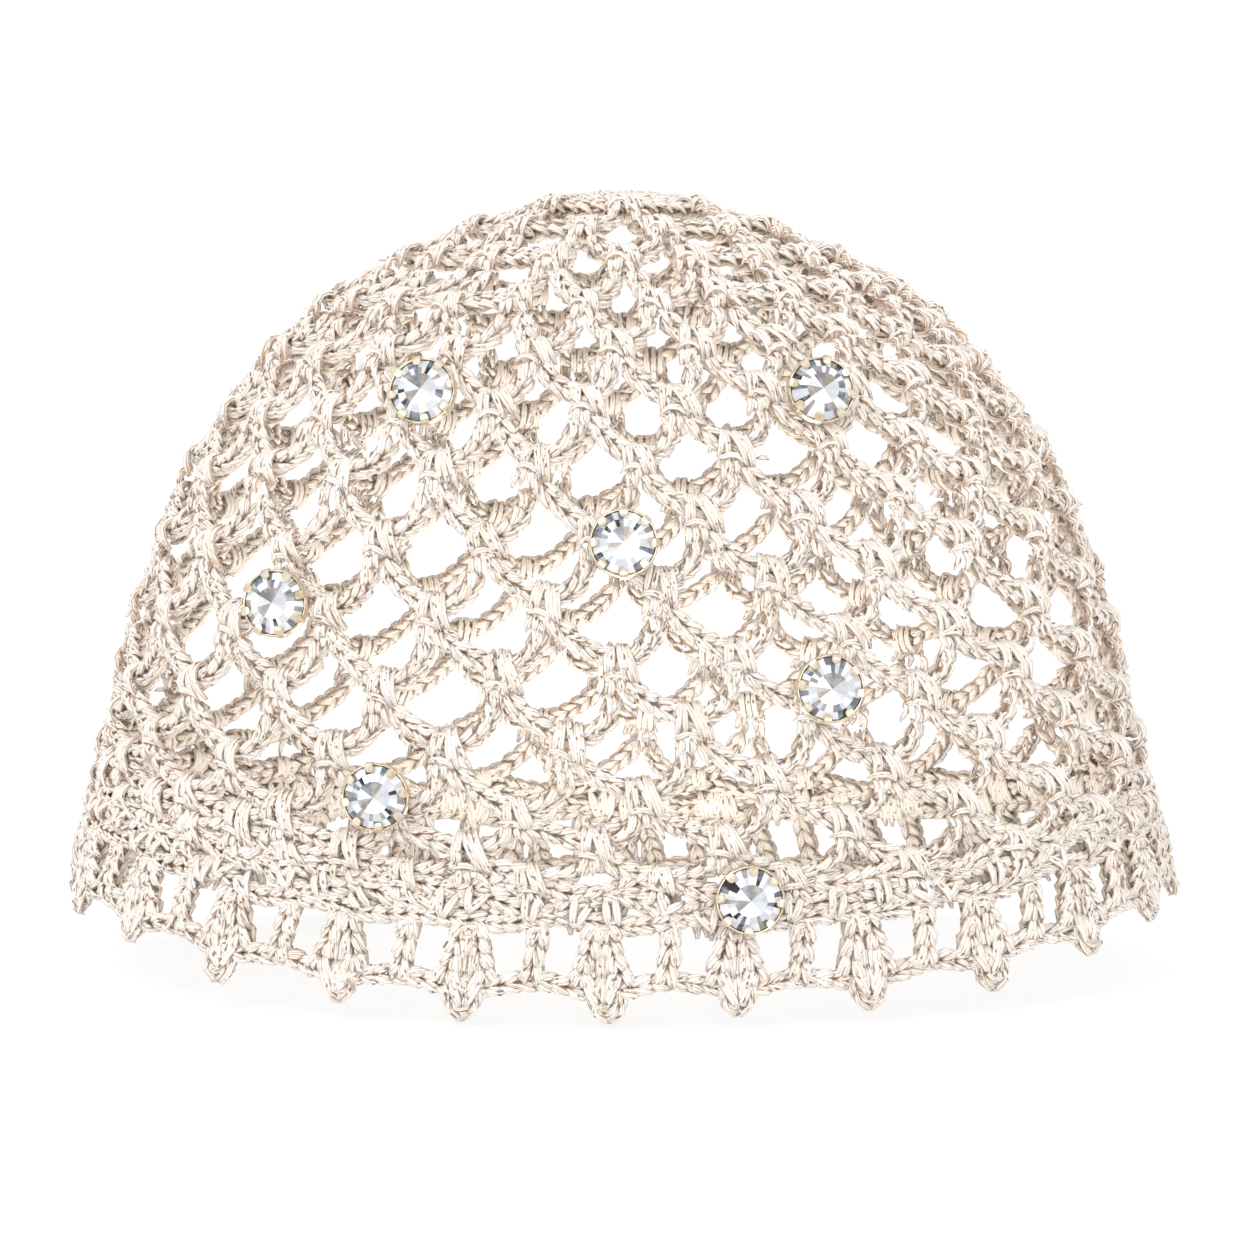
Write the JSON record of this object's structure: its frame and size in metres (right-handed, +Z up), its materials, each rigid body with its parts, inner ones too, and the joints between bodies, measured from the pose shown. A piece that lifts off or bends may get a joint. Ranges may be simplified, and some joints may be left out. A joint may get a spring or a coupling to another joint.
{
  "type": "mesh cap",
  "caption": "Open crocheted mesh cap with a dense head band, a fan and picot border, and round cut crystals in gilt prong settings on the front.",
  "frame": {"origin": "centre of the bounding box at the foot of the picots, on the surface the cap stands on", "axes": "+Z up through the crown, -Y toward the front with the stones, +X to the right of the picture"},
  "size_m": [0.2174, 0.1592, 0.1481],
  "materials": {
    "raffia": "matte cream ribbon yarn",
    "gilt": "polished champagne gilt",
    "crystal": "faceted and foil backed"
  },
  "bodies": {
    "root": {"crown_net": "raffia", "head_band": "raffia", "picot_border": "raffia", "setting_1": "gilt", "crystal_1": "crystal", "setting_2": "gilt", "crystal_2": "crystal", "setting_3": "gilt", "crystal_3": "crystal", "setting_4": "gilt", "crystal_4": "crystal", "setting_5": "gilt", "crystal_5": "crystal", "setting_6": "gilt", "crystal_6": "crystal", "setting_7": "gilt", "crystal_7": "crystal"}
  },
  "joints": []
}
